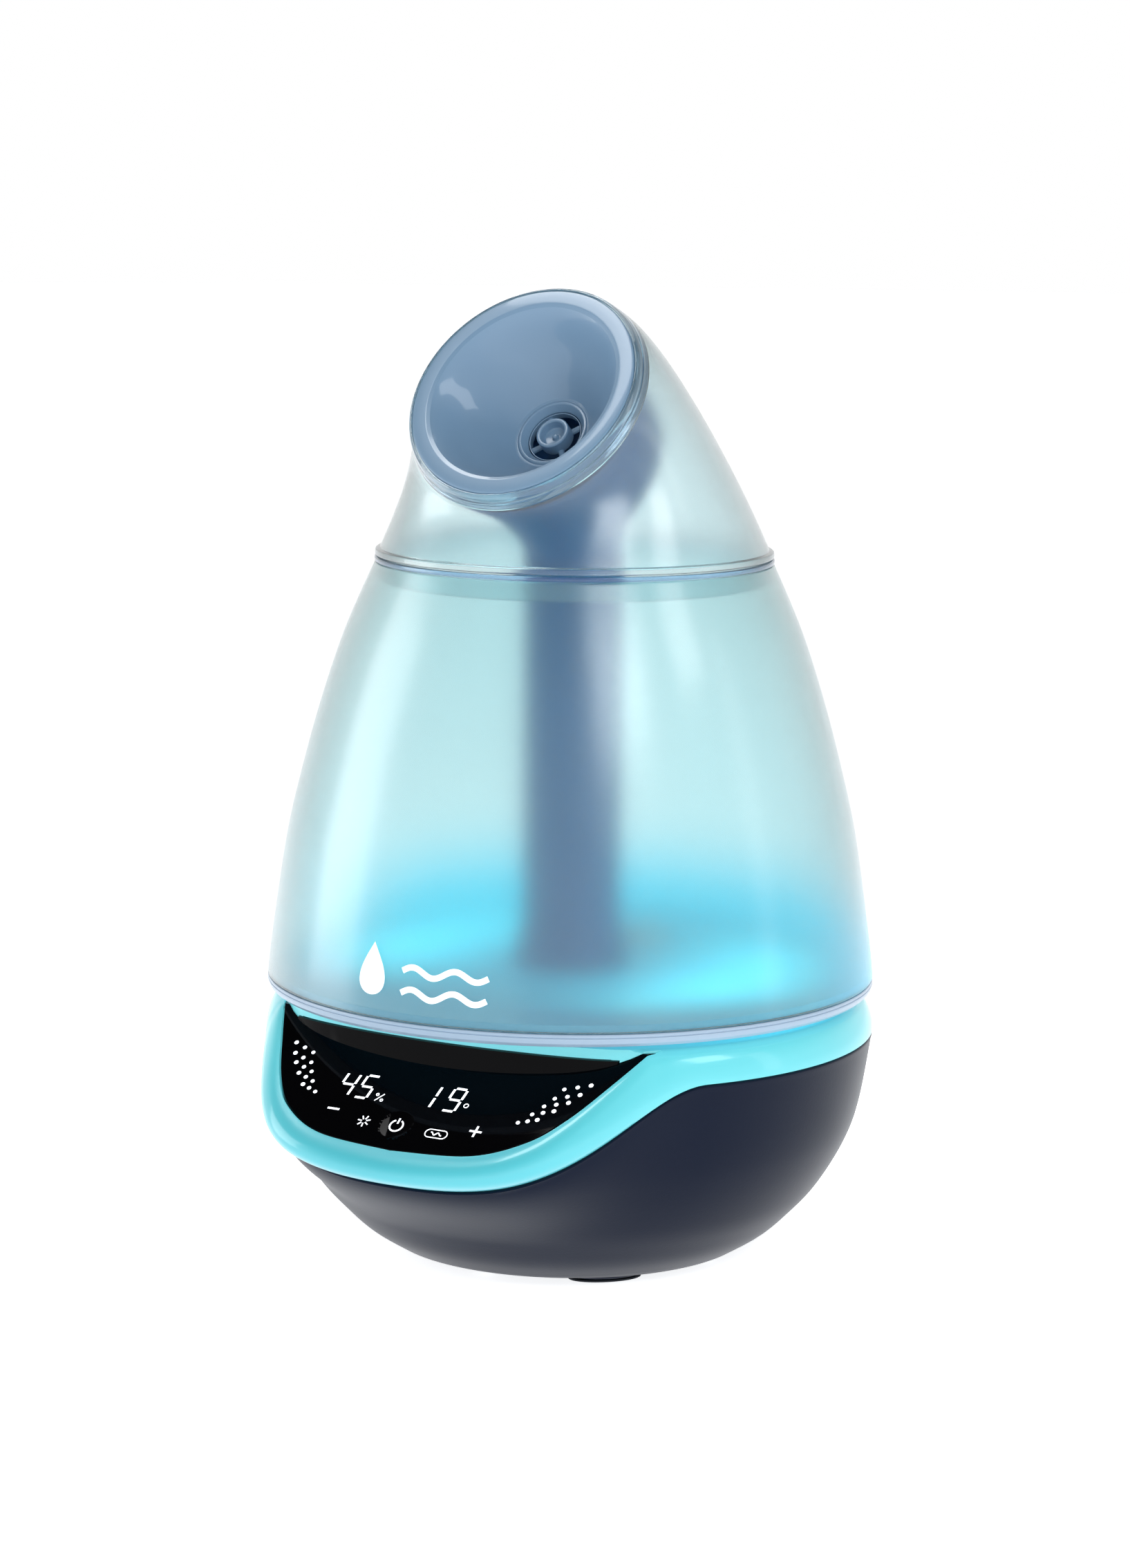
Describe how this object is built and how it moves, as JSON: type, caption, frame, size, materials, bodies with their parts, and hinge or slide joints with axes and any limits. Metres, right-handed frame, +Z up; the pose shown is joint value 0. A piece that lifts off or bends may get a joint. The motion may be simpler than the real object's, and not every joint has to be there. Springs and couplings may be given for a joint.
{
  "type": "cool mist humidifier",
  "caption": "Table-top cool mist humidifier: lit base with display, lift-off egg-shaped water tank and a swivelling mist nozzle dome.",
  "frame": {"origin": "on the floor, under the middle of the object's bounding box; the tank and dome turn about a vertical line 8.2 mm behind it", "axes": "+Z up, the display and the resting nozzle face -Y, +X to the right as seen from the front"},
  "size_m": [0.2212, 0.2384, 0.3491],
  "materials": {
    "tank_clear": "frosted translucent, satin",
    "dome_clear": "translucent, glossy",
    "trim_clear": "clear, polished",
    "collar_plastic": "satin",
    "funnel_plastic": "glossy",
    "chimney_plastic": "satin",
    "light_diffuser": "satin, lit from inside",
    "shell_plastic": "satin",
    "lens_black": "mirror gloss",
    "circuit_board": "satin solder mask",
    "white_plastic": "satin",
    "soft_rubber": "matte",
    "zinc_metal": "brushed",
    "brass_metal": "turned",
    "black_plastic": "matte",
    "felt": "soft felt"
  },
  "bodies": {
    "base": {"base_shell": "shell_plastic", "bottom_cover": "shell_plastic", "foot_pad_1": "soft_rubber", "foot_pad_2": "soft_rubber", "foot_pad_3": "soft_rubber", "foot_pad_4": "soft_rubber", "cover_screw_1": "zinc_metal", "cover_screw_2": "zinc_metal", "cover_screw_3": "zinc_metal", "cover_screw_4": "zinc_metal", "light_ring": "light_diffuser", "display_lens": "lens_black", "panel_tray": "white_plastic", "display_board": "circuit_board", "light_board": "circuit_board", "water_tray": "white_plastic", "valve_post": "white_plastic", "float_clip": "zinc_metal", "transducer_disc": "zinc_metal", "transducer_seal": "soft_rubber", "transducer_clamp": "brass_metal", "heat_sink": "zinc_metal", "fan_frame": "black_plastic", "air_duct": "white_plastic", "main_board": "circuit_board", "humidity_sensor": "circuit_board", "power_socket": "black_plastic", "drawer_sleeve": "white_plastic"},
    "fan_wheel": {"fan_rotor": "black_plastic"},
    "float": {"level_float": "white_plastic"},
    "aroma_tray": {"aroma_drawer": "shell_plastic", "aroma_pad": "felt"},
    "water_tank": {"tank_shell": "tank_clear", "tank_collar": "collar_plastic", "tank_floor": "tank_clear", "chimney_tube": "chimney_plastic"},
    "filler_cap": {"valve_cap": "white_plastic", "cap_seal": "soft_rubber"},
    "tank_valve": {"valve_plunger": "white_plastic", "valve_spring": "zinc_metal"},
    "neck": {"neck_ring": "trim_clear"},
    "nozzle": {"nozzle_dome": "dome_clear", "mist_duct": "chimney_plastic", "nozzle_trim_ring": "trim_clear", "nozzle_funnel": "funnel_plastic", "outlet_hub": "funnel_plastic"}
  },
  "joints": [
    {"name": "fan_spin", "type": "hinge", "parent": "base", "child": "fan_wheel", "pos_m": [-0.022, 0.0122, 0.02], "axis": [0, 0, 1], "continuous": true},
    {"name": "float_rise", "type": "slide", "parent": "base", "child": "float", "axis": [0, 0, 1], "range_m": [0, 0.0075]},
    {"name": "aroma_drawer_pull", "type": "slide", "parent": "base", "child": "aroma_tray", "axis": [0, 1, 0], "range_m": [0, 0.034]},
    {"name": "tank_lift", "type": "slide", "parent": "base", "child": "water_tank", "axis": [0, 0, 1], "range_m": [0, 0.12]},
    {"name": "filler_cap_turn", "type": "hinge", "parent": "water_tank", "child": "filler_cap", "pos_m": [0, 0.0602, 0.09], "axis": [0, 0, 1], "range_deg": [0, 120]},
    {"name": "valve_drop", "type": "slide", "parent": "filler_cap", "child": "tank_valve", "axis": [0, 0, 1], "range_m": [-0.004, 0], "deforming": ["valve_spring"]},
    {"name": "neck_lift", "type": "slide", "parent": "water_tank", "child": "neck", "axis": [0, 0, 1], "range_m": [0, 0.05]},
    {"name": "nozzle_turn", "type": "hinge", "parent": "neck", "child": "nozzle", "pos_m": [0, 0.0082, 0.2537], "axis": [0, 0, 1], "continuous": true}
  ],
  "couplings": [
    {"joint": "valve_drop", "follows": "tank_lift", "ratio": -0.03333}
  ]
}
